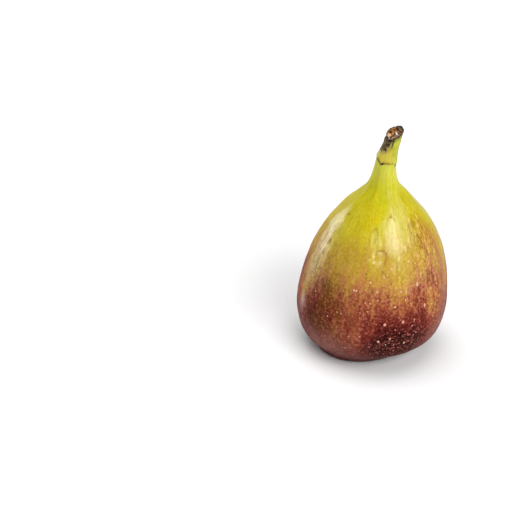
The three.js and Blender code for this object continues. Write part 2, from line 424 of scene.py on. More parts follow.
# %% [markdown]
# ## One closed mesh
# The rows are joined by quads, and a fan of triangles closes each end, so the skin has no holes and
# no seam. Skin, stalk and cut are three finishes of the one mesh, told apart by row.

# %% One closed mesh
def closed_faces(rows, columns):
    """Quads between rows, and a fan round the first and the last point, all facing outward."""
    column = np.arange(columns)
    following = (column + 1) % columns
    foot_row = 1 + columns * np.arange(rows - 1)[:, None]
    quads = np.stack([foot_row + column, foot_row + following,
                      foot_row + following + columns, foot_row + column + columns], axis=-1)
    head = 1 + columns * (rows - 1)
    first = np.stack([0 * column, 1 + following, 1 + column], axis=-1)
    last = np.stack([0 * column + head + columns, head + column, head + following], axis=-1)
    return first.tolist() + quads.reshape(-1, 4).tolist() + last.tolist()


def placed(name, data):
    """An object of some data, in the scene."""
    made = bpy.data.objects.new(name, data)
    scene.collection.objects.link(made)
    return made


def make_piece(name, points, faces, *materials):
    """A smooth shaded mesh at the origin, from points in millimetres."""
    mesh = bpy.data.meshes.new(name)
    mesh.from_pydata((points * MM).tolist(), [], faces)
    mesh.shade_smooth()
    for material in materials:
        mesh.materials.append(material)
    return placed(name, mesh)


def with_ends(grid):
    """The grid as one list, between the mean of its first row and the mean of its last."""
    flat = grid.reshape(-1, *grid.shape[2:])
    return np.concatenate([grid[:1].mean(axis=1), flat, grid[-1:].mean(axis=1)])


def paint(piece, name, values):
    """Stores one number, or one vector, for every vertex."""
    kind, field = ("FLOAT_VECTOR", "vector") if values.ndim == 2 else ("FLOAT", "value")
    layer = piece.data.attributes.new(name, kind, "POINT")
    layer.data.foreach_set(field, values.astype(np.float32).ravel())


skin_points = with_ends(skin_rows)
skin_faces = closed_faces(len(skin_rows), COLUMNS)
finishes = [bpy.data.materials.new(name) for name in ("ripe skin", "green stalk", "cut end")]
skin_finish, stalk_finish, cut_finish = finishes
skin = make_piece("fig_skin", skin_points, skin_faces, *finishes)
face_rows = np.repeat(np.arange(-1, len(skin_rows)), COLUMNS)
finish_of_face = (face_rows >= BODY_ROWS).astype(int) + (face_rows >= BODY_ROWS + SLEEVE_ROWS - 1)
skin.data.polygons.foreach_set("material_index", finish_of_face)
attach(skin, "root")
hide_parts("fig")
print("skin with", len(skin_points), "points and", len(skin_faces), "faces")

# %% [markdown]
# ## Where each finish goes
# A fig ripens from the eye up, so its colour follows its height first. Over that lie soft patches
# of riper or greener skin, of olive brown and of dusty bloom. The bloom also carries a painted sheen
# of the floor's reflection low down and along the rims. Two patches on the edge toward -X, one of
# ripeness and one of olive brown, are painted shade. Each patch is a bell curve round a spot, so a
# table of spots says it all. Other tables say where the grain and the painted flecks and ridges of
# shade and highlight go, and where the skin is glossy. All are stored on the mesh as masks. So is
# the way along the fibres, as a cosine, a sine and a distance, so that streaks run round the fig
# without a seam.

# %% Ripeness, olive brown and bloom, with painted sheen and painted edge shade
# Each row: the angle in degrees, height, degrees wide, millimetres tall, and amount
BLUSHES_AND_EDGE_SHADE = [
    # broad, round the front
    [-72, 13, 24, 8, 0.28], [-88, 11, 8, 6, 0.06], [-116, 14, 15, 6, -0.12],
    [-130, 9, 14, 7, -0.12], [-146, 18, 12, 6, 0.18], [-150, 24, 8, 4, 0.05],
    [-164, 25, 9, 8, -0.12], [-156, 34, 8, 4, -0.05], [-36, 18, 12, 11, -0.1],
    [-33, 45, 12, 7, 0.14], [-50, 46, 8, 5, 0.04], [-120, 53, 30, 5, 0.06],
    [-108, 28, 12, 4, 0.035], [-132, 27, 11, 5, 0.06], [-78, 33, 12, 6, -0.02],
    [-40, 34, 10, 6, 0.03], [-107, 24, 7, 4, 0.035], [-108, 31.5, 8, 4, 0.035],
    [-47, 24.5, 7, 4, -0.055], [-81, 28, 4, 3.5, -0.04], [-103, 12.5, 5, 3, -0.09],
    [-86, 13.5, 4, 2.5, 0.05], [-68, 16, 12, 3.5, 0.04], [-56, 29, 8, 4, 0.04],
    [-90, 37, 8, 5, 0.035], [-22, 40, 12, 8, 0.08], [-50, 47, 6, 5, 0.05], [-147, 35, 8, 6, -0.05],
    [-133, 31, 7, 4, -0.045], [-143, 18, 9, 5, 0.03], [-123, 17, 5, 4, -0.05],
    [-111, 14.5, 4, 4, 0.04], [-95, 17, 4, 3, -0.05], [-131, 19, 5, 4, 0.08],
    [-138, 29, 9, 4, -0.06], [-82, 34.5, 5, 4, 0.06], [-62, 25.5, 6, 3, -0.03],
    [-80, 24.5, 4, 3, -0.03], [-34, 29, 6, 4, 0.045], [-46, 23, 6, 4, -0.02],
    # the last patch here, at -181 degrees, is painted shade on the edge toward -X
    [-58, 21.5, 5, 3, 0.035], [-13, 24, 9, 12, -0.08], [-181, 28, 8, 6, 0.08],
    # narrow, drawn out along the fibres
    [-86, 23, 4, 5, 0.05], [-64, 21, 4, 4, 0.03], [-45, 31, 2.2, 7, 0.08], [-57, 24, 4, 4, -0.04],
    [-93, 25, 2, 4, 0.05], [-55, 35, 1.3, 5, 0.05], [-105, 18, 4, 6, -0.04], [-94, 18, 2, 4, -0.05],
    [-99, 19, 1.8, 4, 0.05], [-38, 33, 1.6, 6, 0.06], [-112, 17, 1.6, 5, 0.04],
    [-74, 29, 1.5, 4, 0.03],
    # round the back
    [15, 25, 24, 9, 0.06], [62, 30, 22, 9, -0.05], [105, 16, 28, 9, 0.12], [150, 27, 18, 8, 0.05],
    [5, 35, 2.5, 7, 0.07], [34, 28, 3, 7, 0.06], [88, 27, 3, 8, 0.07], [128, 30, 2.5, 7, 0.06],
    [172, 22, 20, 9, -0.07],
]
OLIVES_AND_EDGE_SHADE = [
    [-140, 22, 19, 9, 1], [-136, 28, 10, 4, 0.7], [-130, 19, 12, 6, 0.9], [-148, 37, 14, 6, 0.2],
    # the patch at -181 degrees is painted shade on the edge toward -X
    [-48, 45, 6, 4, 0.45], [-181, 29, 9, 6, 0.4], [60, 26, 30, 12, 0.6],
]
# Dusty bloom, and with it a painted sheen of the floor's reflection low down and along the rims
BLOOMS_AND_SHEEN = [
    [-128, 8, 24, 6, 0.85], [-150, 10, 14, 5, 0.4], [-28, 9, 15, 7, 1], [-18, 22, 7, 9, 0.6],
    [-26, 15, 8, 6, 0.4], [40, 9, 34, 6, 0.7], [140, 9, 40, 6, 0.8],
]
# Wavelengths and swings of ripeness, along the fibres and in clouds
RIPE_STREAKS, RIPE_CLOUDS = (3.5, 0.014), (14, 0.01)


def patch(angle, height, wide, tall, amount):
    """A soft patch on the skin: a bell curve in angle times one in height."""
    return amount * np.exp(-((turned_from(angle) / wide) ** 2) - ((up - height) / tall) ** 2)


def spots(table, kind=patch):
    """The sum of a table's patches or marks."""
    return sum(kind(*row) for row in table)


def held(mask):
    """A mask held between 0 and 1."""
    return np.clip(mask, 0, 1)


up = skin_rows[..., 2]
ripeness = 1 - np.clip(up / RING_HEIGHT, 0, 1) + spots(BLUSHES_AND_EDGE_SHADE)
for room, (wavelength, swing) in ((drawn_out, RIPE_STREAKS), (form, RIPE_CLOUDS)):
    ripeness = ripeness + swing * rolling(room, wavelength)
olive_and_edge_shade = held(spots(OLIVES_AND_EDGE_SHADE))
bloom_and_sheen = held(spots(BLOOMS_AND_SHEEN))
print("ripeness from", ripeness.min().round(2), "to", ripeness.max().round(2))

# %% Where the grain and the painted flecks and ridges go, and the gloss
# Where the painted flecks of shade and highlight are strongest, and the ripeness grain coarsest
SPECKLED = [
    [-70, 12, 34, 8, 0.6], [-48, 27, 18, 9, 0.4], [-92, 27, 24, 5, 0.35], [-38, 44, 20, 9, 0.35],
    [-160, 33, 14, 10, 0.4], [-140, 17, 24, 12, 0.15], [110, 15, 50, 10, 0.4],
    [20, 15, 40, 10, 0.4],
]
# Where short ridges of painted shade and highlight run, and where they break the coat
RIDGED = [
    [-40, 42, 18, 12, 0.7], [-36, 26, 14, 10, 0.5], [-162, 35, 14, 14, 0.8], [-85, 60, 60, 4, 0.3],
    [-122, 13, 20, 8, 0.35], [60, 36, 70, 12, 0.4],
]
DULLED = [
    [170, 42, 15, 18, 1], [-160, 55.5, 34, 7.5, 1], [-184, 53, 18, 4.5, 0.9], [-38, 46, 10, 6, 0.8],
    [-112, 50.5, 20, 6, 1], [-98, 53.5, 24, 4, 0.8], [-184, 32, 12, 9, 1], [-88, 38.5, 11, 5, 0.9],
    [-16, 41, 24, 16, 1], [60, 30, 30, 16, 0.5], [130, 50, 25, 14, 0.5],
]
LOW_SHINE = (-160, 30, 14, 5, 0.5)
EDGE_SHINE = (-162, 19.5, 5, 2.5, 1)
SPECKLED_ALL, RIDGED_ALL = 0.3, 0.14
# The heights over which the gloss comes in above the foot and goes down under the neck
GLOSS_IN, GLOSS_OUT, GLOSS_LOSS = (27, 39), (50, 55), 0.7

speckle_shade_and_glint = held(SPECKLED_ALL + spots(SPECKLED))
ridged_shade_and_glint = held(RIDGED_ALL + spots(RIDGED))
gloss = held(smooth_step(up, *GLOSS_IN) + patch(*LOW_SHINE))
gloss = gloss * (1 - GLOSS_LOSS * smooth_step(up, *GLOSS_OUT))
gloss = np.maximum(gloss * (1 - held(spots(DULLED))), patch(*EDGE_SHINE))
print("glossy over", (gloss[:BODY_ROWS] > 0.5).mean().round(2), "of the body")

# %% Marks on the skin
# Each row: the angle in degrees, height, millimetres round and up, and strength
MARKS = [
    [-78.8, 50.8, 0.4, 0.3, 0.6], [-152.8, 48.9, 0.5, 0.3, 0.7], [-133.1, 49.5, 0.3, 0.3, 0.5],
    [-154.7, 40.7, 0.45, 0.6, 0.8], [-154.7, 36.7, 0.5, 0.35, 0.7], [-25.3, 39.5, 0.4, 0.5, 0.8],
    [-132.2, 33.3, 1, 0.35, 0.7], [-130.5, 32.4, 0.5, 0.3, 0.5], [-45.9, 41.7, 0.35, 1.6, 0.4],
    [-100.3, 45, 0.2, 1.2, 0.45], [-88.9, 38.9, 0.3, 0.7, 0.5], [-99.2, 41.1, 0.45, 0.2, 0.4],
    [-83.4, 33.6, 0.9, 0.45, 0.4], [-77.4, 36.3, 0.2, 3.4, 0.5], [-104, 34.5, 0.4, 0.6, 0.5],
    [-104, 31.6, 0.5, 0.5, 0.5], [-60, 37, 0.3, 1.5, 0.4], [-120, 30, 0.5, 0.5, 0.5],
    [150, 40, 0.6, 0.5, 0.6], [95, 33, 0.5, 1.2, 0.6], [40, 44, 0.5, 0.4, 0.6],
    [10, 37, 0.4, 1.6, 0.5],
]
# Pale spots where a blister or a rib stands up: mostly painted glints where these catch the light,
# and a few pale dots of the skin
PALE_SPOTS_AND_GLINTS = [
    [-100.3, 40.6, 0.28, 0.7, 0.7], [-104.1, 39.6, 0.32, 0.32, 0.5], [-99.4, 39, 0.45, 0.22, 0.7],
    [-104.1, 45, 0.35, 1.9, 0.4], [-93.8, 38.9, 0.8, 0.7, 0.4], [-95.2, 41.4, 0.9, 0.3, 0.35],
    [-66.6, 42.3, 0.28, 0.7, 0.5], [-60, 43.6, 0.3, 0.7, 0.5], [-64.7, 38.4, 0.3, 0.3, 0.7],
    [-75, 39.8, 0.35, 0.5, 0.5], [-69.4, 30.1, 0.28, 0.6, 0.5], [-93.8, 30.7, 0.3, 0.3, 0.6],
    [64, 38, 0.4, 0.5, 0.6], [128, 45, 0.35, 0.6, 0.5], [15, 33, 0.3, 0.9, 0.5],
    [92, 36, 0.35, 0.5, 0.5],
]
OUTLINE_BROWN, SCALE_BROWN, FURROW_BROWN = 0.6, 0.3, 0.6


def mark(angle, height, wide, tall, strength):
    """A small mark: a bell curve of its distance in radii."""
    sideways, above = offsets(angle, height)
    return strength * np.exp(-((sideways / wide) ** 2) - (above / tall) ** 2)


# The scales that close the eye are dry and brown, and darkest in the furrows between them
scaly = 1 - smooth_step(from_eye, SCALES["radius"], LIP_RADIUS + LIP_WIDTH)
furrows = inward * (1 - swirl) ** 2
marks = spots(MARKS, mark) + OUTLINE_BROWN * held(outlines)
marks[:BODY_ROWS] += scaly * (SCALE_BROWN + FURROW_BROWN * furrows)
marks = held(marks)
pale_spots_and_glints = held(spots(PALE_SPOTS_AND_GLINTS, mark))
print(len(MARKS), "dark marks and", len(PALE_SPOTS_AND_GLINTS), "pale ones")

# %% Painted shade in the crease under the ring, and the bract above it
# How dark the painted shade in the crease is round the ring, from one corner of the bract to the next
CREASE_ANGLES = [-200, -178, -150, -124, -112, -75, -55, -44, -36, -20, 40, 100, 160]
CREASE_SHADE_DEPTHS = [0.5, 1.1, 1.3, 1.3, 0.7, 0.55, 0.4, 0.4, 0.9, 0.4, 0.5, 0.9, 0.5]
CREASE_WIDTH = 0.48
CREASE_SHADE_SPOTS = [
    [-115.3, 65.1, 0.28, 0.34, 1.2], [-63.8, 65.3, 0.22, 0.22, 0.8], [-32.8, 63.9, 0.4, 0.3, 1.2],
]
STALK_LINES = [[-90, 71.5, 0.2, 1, 1.2], [-104, 72.7, 1.1, 0.45, 0.9]]
# Where the gold of the bract fades, its share beyond, and the middle and width of its edge
BRACT_LEFT, BRACT_RIGHT, BRACT_TOP, BRACT_REST = (-176, -160), (-84, -66), (68.3, 70.2), 0.25
BRACT_EDGE = (0.75, 0.5)

turn_from_back = (np.degrees(angles) + 200) % 360 - 200
past_ring = gone - gone[BODY_ROWS - 1]
depth = np.interp(turn_from_back, CREASE_ANGLES, CREASE_SHADE_DEPTHS)
crease_shade = depth * bell(past_ring, 0, CREASE_WIDTH)
crease_shade = held(crease_shade + spots(CREASE_SHADE_SPOTS, mark))
stalk_line = held(spots(STALK_LINES, mark))
bract_side = smooth_step(turn_from_back, *BRACT_LEFT)
bract_side = bract_side * (1 - smooth_step(turn_from_back, *BRACT_RIGHT))
bract = on_stalk * (1 - smooth_step(up, *BRACT_TOP)) * np.maximum(bract_side, BRACT_REST)
bract_edge = on_stalk * bract_side * bell(past_ring, *BRACT_EDGE)
print("the bract covers", bract[BODY_ROWS:].mean().round(2), "of the stalk")

# %% The rim of the cut
# Round the rim: how dark it is outside, how black on the far edge, and how pale where it tore
RIM_ANGLES = [-200, -170, -130, -100, -70, -30, 0, 40, 80, 130, 160]
DARK_RIM = [0.55, 0.7, 1, 1, 1, 0.7, 0.9, 1, 0.9, 0.6, 0.5]
BLACK_EDGE = [0.3, 0.2, 0, 0, 0, 0.3, 0.9, 1, 0.9, 0.4, 0.3]
PALE_EDGE = [0.5, 0.9, 1, 0.8, 0.4, 0.1, 0, 0, 0, 0, 0.3]
# The rows past the edge where each band lies, and how many it spreads over
DARK_ROWS, BLACK_ROWS, PALE_ROWS = (-0.5, 3.2), (1, 5), (5, 2.4)
# Drops of white sap, with painted glints on the wet wood among them: millimetres along +X and +Y from
# the cut's middle, and size
SAP_AND_GLINTS = [
    [0.55, -0.35, 0.3], [-0.6, -1.2, 0.18], [-1.75, -0.65, 0.24], [1.1, 0.7, 0.16],
    [0.9, -0.9, 0.16],
]


def band_of_rows(strengths, middle, width):
    """A strength at each angle of the rim times a bell curve of the rows past the edge."""
    return np.interp(turn_from_back, RIM_ANGLES, strengths) * bell(past_edge, middle, width)


dark_rim = held(band_of_rows(DARK_RIM, *DARK_ROWS) + band_of_rows(BLACK_EDGE, *BLACK_ROWS))
pale_edge = band_of_rows(PALE_EDGE, *PALE_ROWS)
from_x, from_y = east - east[-1].mean(), north - north[-1].mean()
drops = sum(np.exp(-((from_x - x) ** 2 + (from_y - y) ** 2) / size ** 2) for x, y, size in SAP_AND_GLINTS)
sap_and_glints = held(drops * on_cut)
print(len(SAP_AND_GLINTS), "drops of sap")

# %% The masks on the mesh
MASKS = dict(
    ripeness=ripeness, olive_and_edge_shade=olive_and_edge_shade, bloom_and_sheen=bloom_and_sheen, speckle_shade_and_glint=speckle_shade_and_glint, ridged_shade_and_glint=ridged_shade_and_glint, gloss=gloss,
    marks=marks, pale_spots_and_glints=pale_spots_and_glints, crease_shade=crease_shade, bract=bract, bract_edge=bract_edge,
    dried=dried, stalk_line=stalk_line, dark_rim=dark_rim, pale_edge=pale_edge, sap_and_glints=sap_and_glints,
)
paint(skin, "way", with_ends(way * MM))
for name, values in MASKS.items():
    paint(skin, name, with_ends(values))
print(len(MASKS), "masks")

# %% [markdown]
# ## Finishes
# A small helper adds a node and fills its sockets, so that each finish reads as a recipe. What more
# than one finish needs is a node group with named sockets.

# %% Helpers for nodes
def fill(tree, made, sockets):
    """Fills sockets, each with a number, a colour, the name of a mask, or an output to link."""
    for name, value in sockets.items():
        if isinstance(value, str):
            value = attribute(tree, value)
        if isinstance(value, bpy.types.NodeSocket):
            tree.links.new(value, made.inputs[name])
        else:
            made.inputs[name].default_value = value
    return made


def node(tree, kind, sockets, **settings):
    """Adds a shader node with its settings and sockets."""
    made = tree.nodes.new("ShaderNode" + kind)
    for name, value in settings.items():
        setattr(made, name, value)
    return fill(tree, made, sockets)


def calculated(tree, operation, first, second):
    """One Math node's result."""
    return node(tree, "Math", {0: first, 1: second}, operation=operation).outputs[0]


def times(tree, first, second):
    """The product of two values."""
    return calculated(tree, "MULTIPLY", first, second)


def between(tree, value, low, high, to_low=0, to_high=1):
    """The value's place between low and high, laid between to_low and to_high."""
    sockets = {0: value, 1: low, 2: high, 3: to_low, 4: to_high}
    return node(tree, "MapRange", sockets).outputs[0]


def mixed(tree, share, first, second, blend="MIX"):
    """Two colours mixed by a share."""
    sockets = {0: share, 6: first, 7: second}
    return node(tree, "Mix", sockets, data_type="RGBA", blend_type=blend).outputs[2]


def layered(tree, colour, *layers):
    """A colour with others laid over it in turn, each with its share."""
    for share, over in layers:
        colour = mixed(tree, share, colour, over)
    return colour


def ramp(tree, value, stops):
    """A colour ramp with its stops as (place, colour)."""
    made = node(tree, "ValToRGB", {"Fac": value})
    elements = made.color_ramp.elements
    while len(elements) < len(stops):
        elements.new(0.5)
    for element, (place, colour) in zip(elements, stops):
        element.position = place
        element.color = (*colour, 1)
    return made.outputs["Color"]


def shaded(tree, colour, value):
    """A colour times a value."""
    grey = node(tree, "CombineColor", {0: value, 1: value, 2: value}).outputs[0]
    return mixed(tree, 1, colour, grey, "MULTIPLY")


def noise(tree, place, scale, detail=2, roughness=0.5, stretch=(1, 1, 1)):
    """Noise from 0 to 1 about a half, in a space scaled by stretch."""
    laid = node(tree, "Mapping", {"Vector": place, "Scale": stretch}).outputs[0]
    sockets = {"Vector": laid, "Scale": scale, "Detail": detail, "Roughness": roughness}
    return node(tree, "TexNoise", sockets).outputs["Fac"]


def bumps(tree, height, strength, distance):
    """A surface normal tilted by a height, with the distance in metres."""
    sockets = {"Strength": strength, "Distance": distance, "Height": height}
    return node(tree, "Bump", sockets).outputs["Normal"]


def attribute(tree, name, output="Fac"):
    """An attribute of the mesh."""
    return node(tree, "Attribute", {}, attribute_name=name).outputs[output]


def object_place(tree):
    """The place on the object, in metres."""
    return node(tree, "TexCoord", {}).outputs["Object"]


def new_group(name, inputs, kind_out, outputs):
    """A node group, what it is given and what it puts out, which is all of one kind.

    Each input has a number, or the kind of its socket."""
    group = bpy.data.node_groups.new(name, "ShaderNodeTree")
    for title, value in inputs.items():
        kind = value if isinstance(value, str) else "Float"
        socket = group.interface.new_socket(title, in_out="INPUT", socket_type="NodeSocket" + kind)
        if value is not kind:
            socket.default_value = value
    for title in outputs:
        group.interface.new_socket(title, in_out="OUTPUT", socket_type="NodeSocket" + kind_out)
    given, result = group.nodes.new("NodeGroupInput"), group.nodes.new("NodeGroupOutput")
    print("group", name, "gives", list(outputs))
    return group, given.outputs, result.inputs


def use(tree, group, sockets):
    """What a group puts out, given a material's own values."""
    return node(tree, "Group", sockets, node_tree=group).outputs


def shader_of(material):
    """A material's node tree and its Principled BSDF."""
    material.use_nodes = True
    return material.node_tree, material.node_tree.nodes["Principled BSDF"]


print("helpers ready")

# %% Streaks that follow the fibres
FINENESS = {"Broad": 1, "Fine": 2.9, "Hair": 6}
streaks, given, result = new_group(
    "fibre streaks", {"Way": "Vector", "Scale": 400, "Stretch": 0.07}, "Float", FINENESS)
squeeze = node(streaks, "CombineXYZ", {0: 1, 1: 1, 2: given["Stretch"]}).outputs[0]
for title, finer in FINENESS.items():
    scale = times(streaks, given["Scale"], finer)
    streak = noise(streaks, given["Way"], scale, 2, 0.55, squeeze)
    streaks.links.new(streak, result[title])

# %% Specks strewn over a surface
specks, given, result = new_group(
    "strewn specks", {"Place": "Vector", "Scale": 900, "Size": 0.3, "Share": 0.5},
    "Float", ["Mask"])
cells = node(specks, "TexVoronoi", {"Vector": given["Place"], "Scale": given["Scale"]})
lot = node(specks, "SeparateColor", {0: cells.outputs["Color"]}).outputs
reach = times(specks, given["Size"], between(specks, lot[1], 0, 1, 0.45, 1))
dot = between(specks, cells.outputs["Distance"], reach, times(specks, reach, 0.6))
kept = calculated(specks, "LESS_THAN", lot[0], given["Share"])
specks.links.new(times(specks, dot, kept), result["Mask"])

# %% Painted shade in hollows and painted highlights on crests
painted_hollows, given, result = new_group(
    "hollows and crests",
    {"Colour": "Color", "Height": 0.5, "Strength": 0.5, "Dark": "Color", "Light": "Color"},
    "Color", ["Colour"])
# Painted shade where the height is low, and painted highlight where it is high
low_share = times(painted_hollows, between(painted_hollows, given["Height"], 0.465, 0.325), given["Strength"])
high_share = times(painted_hollows, between(painted_hollows, given["Height"], 0.545, 0.71), given["Strength"])
darker = mixed(painted_hollows, low_share, given["Colour"], given["Dark"])
painted_hollows.links.new(mixed(painted_hollows, high_share, darker, given["Light"]), result["Colour"])

# %% [markdown]
# ## The skin
# Ripeness picks the skin's colour, from leaf green through gold and brick to near black. It
# wanders, in streaks along the fibres and in blotches and grain, so that the change is ragged and
# not a smooth fade. Ripe skin is pebbled too finely to model, so its light and shade are painted:
# painted shade darkens the hollows and painted highlights light the crests. On the flanks these
# flecks run together into short ridges of painted shade and highlight.

# %% The skin's colour
SKIN_COLOURS = [
    (0, (0.56, 0.55, 0.06)), (0.11, (0.54, 0.51, 0.035)), (0.2, (0.47, 0.405, 0.005)),
    (0.29, (0.48, 0.385, 0.004)), (0.4, (0.435, 0.28, 0.017)), (0.49, (0.43, 0.225, 0.03)),
    (0.55, (0.39, 0.153, 0.039)), (0.6, (0.32, 0.094, 0.036)), (0.66, (0.225, 0.046, 0.023)),
    (0.72, (0.165, 0.024, 0.012)), (0.8, (0.12, 0.014, 0.009)), (0.9, (0.07, 0.006, 0.004)),
    (1, (0.03, 0.003, 0.002)),
]
LEAF_GREEN = (0.4, 0.385, 0.005, 1)
# Olive brown of the skin, also used for painted shade on the edge toward -X
OLIVE_AND_SHADE_BROWN = (0.115, 0.036, 0.0015, 1)
# Grey of the bloom and of the painted sheen
BLOOM_AND_SHEEN_GREY = (0.27, 0.13, 0.11, 1)

tree, shader = shader_of(skin_finish)
place = object_place(tree)
way_in = attribute(tree, "way", "Vector")
streaky = use(tree, streaks, {"Way": way_in, "Scale": 380, "Stretch": 0.07})
clouds = noise(tree, place, 170, 3, 0.6)
blotches = noise(tree, place, 620, 2, 0.6, (1, 1, 0.6))
grain = noise(tree, place, 1300, 2, 0.6, (1, 1, 0.7))
ripe = attribute(tree, "ripeness")
freedom = between(tree, ripe, 0.3, 0.5, 0.45, 1)
grainy = times(tree, freedom, between(tree, "speckle_shade_and_glint", 0.35, 0.7, 0.7, 1.1))
# A noise, the most that it may move the ripeness, and how freely it does
for wander, most, free in (
        (streaky["Broad"], 0.042, freedom), (streaky["Fine"], 0.036, freedom),
        (streaky["Hair"], 0.035, freedom), (clouds, 0.03, freedom),
        (blotches, 0.016, freedom), (grain, 0.062, grainy)):
    swing = times(tree, between(tree, wander, 0.3, 0.7, -most, most), free)
    ripe = calculated(tree, "ADD", ripe, swing)

browned_and_shaded = between(tree, noise(tree, place, 300, 3, 0.6, (1, 1, 0.6)), 0.34, 0.54, 0, 0.82)
dusted_and_sheen = between(tree, clouds, 0.3, 0.7, 0.3, 0.8)
leafy = between(tree, noise(tree, place, 85), 0.42, 0.6)
colour = layered(
    tree, ramp(tree, ripe, SKIN_COLOURS),
    # olive brown, and painted shade on the edge toward -X
    (times(tree, "olive_and_edge_shade", browned_and_shaded), OLIVE_AND_SHADE_BROWN),
    # bloom, with a painted sheen of the floor's reflection
    (times(tree, "bloom_and_sheen", dusted_and_sheen), BLOOM_AND_SHEEN_GREY),
    (times(tree, leafy, between(tree, ripe, 0.4, 0.2, 0, 0.5)), LEAF_GREEN),
)
print("skin colours", len(SKIN_COLOURS))

# %% Specks and marks on the skin, and its painted flecks, glints and crease shade
# Colours of the pale specks, and of the painted highlights on crests and ridges
FLECK_AND_GLINT_COLOURS = [
    (0.1, (0.85, 0.82, 0.22)), (0.45, (0.82, 0.6, 0.2)),
    (0.6, (0.58, 0.28, 0.15)), (0.8, (0.38, 0.105, 0.085)),
]
# Painted shade for the pebbles' hollows and for the grooves
HOLLOW_SHADE_BLACK = (0, 0, 0, 1)
GROOVE_SHADE_BROWN = (0.09, 0.03, 0.003, 1)
MARK_BROWN = (0.16, 0.075, 0.006, 1)
# Pale colour of the painted glints and of the pale dots
PALE_SPOT_AND_GLINT = (0.86, 0.72, 0.3, 1)
# Painted shade in the crease under the ring
CREASE_SHADE_BROWN = (0.03, 0.02, 0.006, 1)
CREASE_SHOWS = (0.15, 0.7)

colour = shaded(tree, colour, between(tree, streaky["Hair"], 0.3, 0.7, 0.9, 1.1))
fleck_and_glint_colour = ramp(tree, ripe, FLECK_AND_GLINT_COLOURS)
# Painted shade in the pebbles' hollows and painted highlights on their crests
colour = use(tree, painted_hollows, {
    "Colour": colour, "Dark": HOLLOW_SHADE_BLACK, "Light": fleck_and_glint_colour,
    "Height": noise(tree, way_in, 2600, 1, 0.6, (1, 1, 0.45)),
    "Strength": times(tree, "speckle_shade_and_glint", between(tree, ripe, 0.1, 0.8, 0.25, 0.8)),
})["Colour"]
# Painted shade in the grooves and painted highlights on the ridges between them
colour = use(tree, painted_hollows, {
    "Colour": colour, "Dark": GROOVE_SHADE_BROWN, "Light": fleck_and_glint_colour,
    "Height": use(tree, streaks, {"Way": way_in, "Scale": 500, "Stretch": 0.2})["Fine"],
    "Strength": times(tree, "ridged_shade_and_glint", 0.5),
})["Colour"]

dark_specks, pale_specks = (
    use(tree, specks, {"Place": place, "Scale": scale, "Size": size, "Share": share})["Mask"]
    for scale, size, share in ((800, 0.34, 0.3), (1150, 0.5, 0.35)))
turning = times(tree, between(tree, ripe, 0.34, 0.46), between(tree, ripe, 0.66, 0.56, 0, 0.75))
colour = layered(
    tree, colour,
    (times(tree, dark_specks, turning), MARK_BROWN),
    (times(tree, pale_specks, between(tree, ripe, 0.5, 0.8, 0, 0.5)), fleck_and_glint_colour),
    ("marks", MARK_BROWN),
    # painted glints, with a few pale dots of the skin
    ("pale_spots_and_glints", PALE_SPOT_AND_GLINT),
    # painted shade in the crease under the ring
    (between(tree, "crease_shade", *CREASE_SHOWS), CREASE_SHADE_BROWN),
)
print("fleck colours", len(FLECK_AND_GLINT_COLOURS))

# %% [markdown]
# The shine of a fig is a thin wax over a duller skin. So the skin itself reflects little, and a
# coat lies over it where the skin is taut, broken along the ridges and missing in the marks.

# %% The skin's gloss and grain
broken = times(tree, between(tree, streaky["Hair"], 0.56, 0.36), "ridged_shade_and_glint")
coat = times(tree, "gloss", between(tree, broken, 0, 1, 1, 0.4))
coat = times(tree, coat, between(tree, "marks", 0, 0.6, 1, 0.1))
height = calculated(tree, "ADD", noise(tree, place, 1700), times(tree, streaky["Hair"], 0.8))
fill(tree, shader, {
    "Base Color": colour, "Specular IOR Level": 0.035,
    "Roughness": between(tree, ripe, 0.35, 0.6, 0.45, 0.52),
    "Coat Weight": coat, "Coat Roughness": 0.28, "Coat IOR": 1.62,
    "Normal": bumps(tree, height, 0.3, 0.0002),
})
print("skin finish", len(tree.nodes), "nodes")

# %% [markdown]
# ## The stalk and its cut
# The stalk is green, gold where the bract has left its base, and brown to black where it has dried.
# The cut shows brown and tan wood, pale where it tore, black at the rim, and wet with drops of the
# white sap that figs bleed, with painted glints among them.

# %% The stalk
STALK_GREEN = (0.33, 0.335, 0.02, 1)
STALK_LIGHT = (0.42, 0.42, 0.04, 1)
BRACT_GOLD = (0.53, 0.43, 0.05, 1)
BRACT_OCHRE = (0.32, 0.2, 0.012, 1)
DRIED_TAN = (0.34, 0.25, 0.09, 1)
DRIED_DARK = (0.03, 0.018, 0.005, 1)
DRIED_PALE = (0.16, 0.105, 0.04, 1)
NEARLY_BLACK = (0.012, 0.007, 0.003, 1)

tree, shader = shader_of(stalk_finish)
place = object_place(tree)
way_in = attribute(tree, "way", "Vector")
streaky = use(tree, streaks, {"Way": way_in, "Scale": 260, "Stretch": 0.12})
gold = between(tree, streaky["Broad"], 0.3, 0.5, 0.6, 1)
colour = layered(
    tree, STALK_GREEN,
    (between(tree, noise(tree, place, 330), 0.4, 0.62), STALK_LIGHT),
    (times(tree, "bract", gold), BRACT_GOLD),
    ("bract_edge", BRACT_OCHRE),
)
colour = shaded(tree, colour, between(tree, streaky["Fine"], 0.3, 0.7, 0.92, 1.07))
dry = attribute(tree, "dried")
mottle = noise(tree, place, 1300, 2, 0.6)
tan_share = times(tree, between(tree, dry, 0, 0.35), between(tree, mottle, 0.42, 0.6, 0.5, 1))
dried_colour = mixed(tree, between(tree, mottle, 0.42, 0.6), DRIED_DARK, DRIED_PALE)
broken = between(tree, noise(tree, place, 900), 0.3, 0.55, 0.6, 1)
